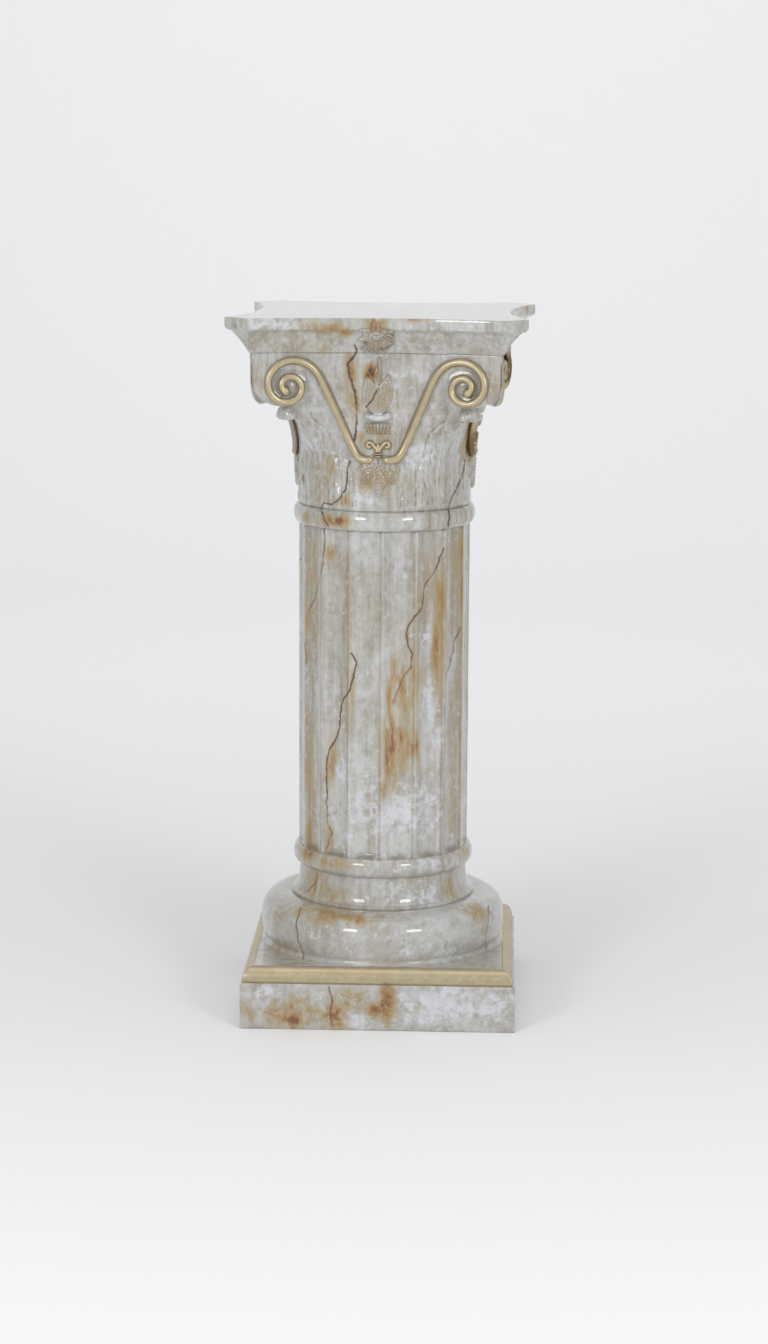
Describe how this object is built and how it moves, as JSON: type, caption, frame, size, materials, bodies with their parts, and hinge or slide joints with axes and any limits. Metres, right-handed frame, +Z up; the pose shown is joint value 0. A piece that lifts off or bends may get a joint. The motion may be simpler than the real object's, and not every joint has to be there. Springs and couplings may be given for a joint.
{
  "type": "decorative column",
  "caption": "Fluted display column on a square plinth, with a scrolled and leaf-carved capital and a concave-sided top slab, in faux marble with gilding.",
  "frame": {"origin": "centre of the plinth's underside", "axes": "+Z up the column; -Y out of the plinth's front face; +X to the right seen from the front"},
  "size_m": [0.3418, 0.3418, 0.8],
  "materials": {
    "base_marble": "cast composite, sponged and veined as grey marble, clear gloss lacquer, champagne gilding on the moulding",
    "shaft_marble": "cast composite, sponged and veined as grey marble with rust stains, clear gloss lacquer",
    "capital_marble": "cast composite, sponged and veined as grey marble, clear gloss lacquer, champagne gilding on scrolls and trefoils"
  },
  "bodies": {
    "root": {"base": "base_marble", "shaft": "shaft_marble", "capital": "capital_marble"}
  },
  "joints": []
}
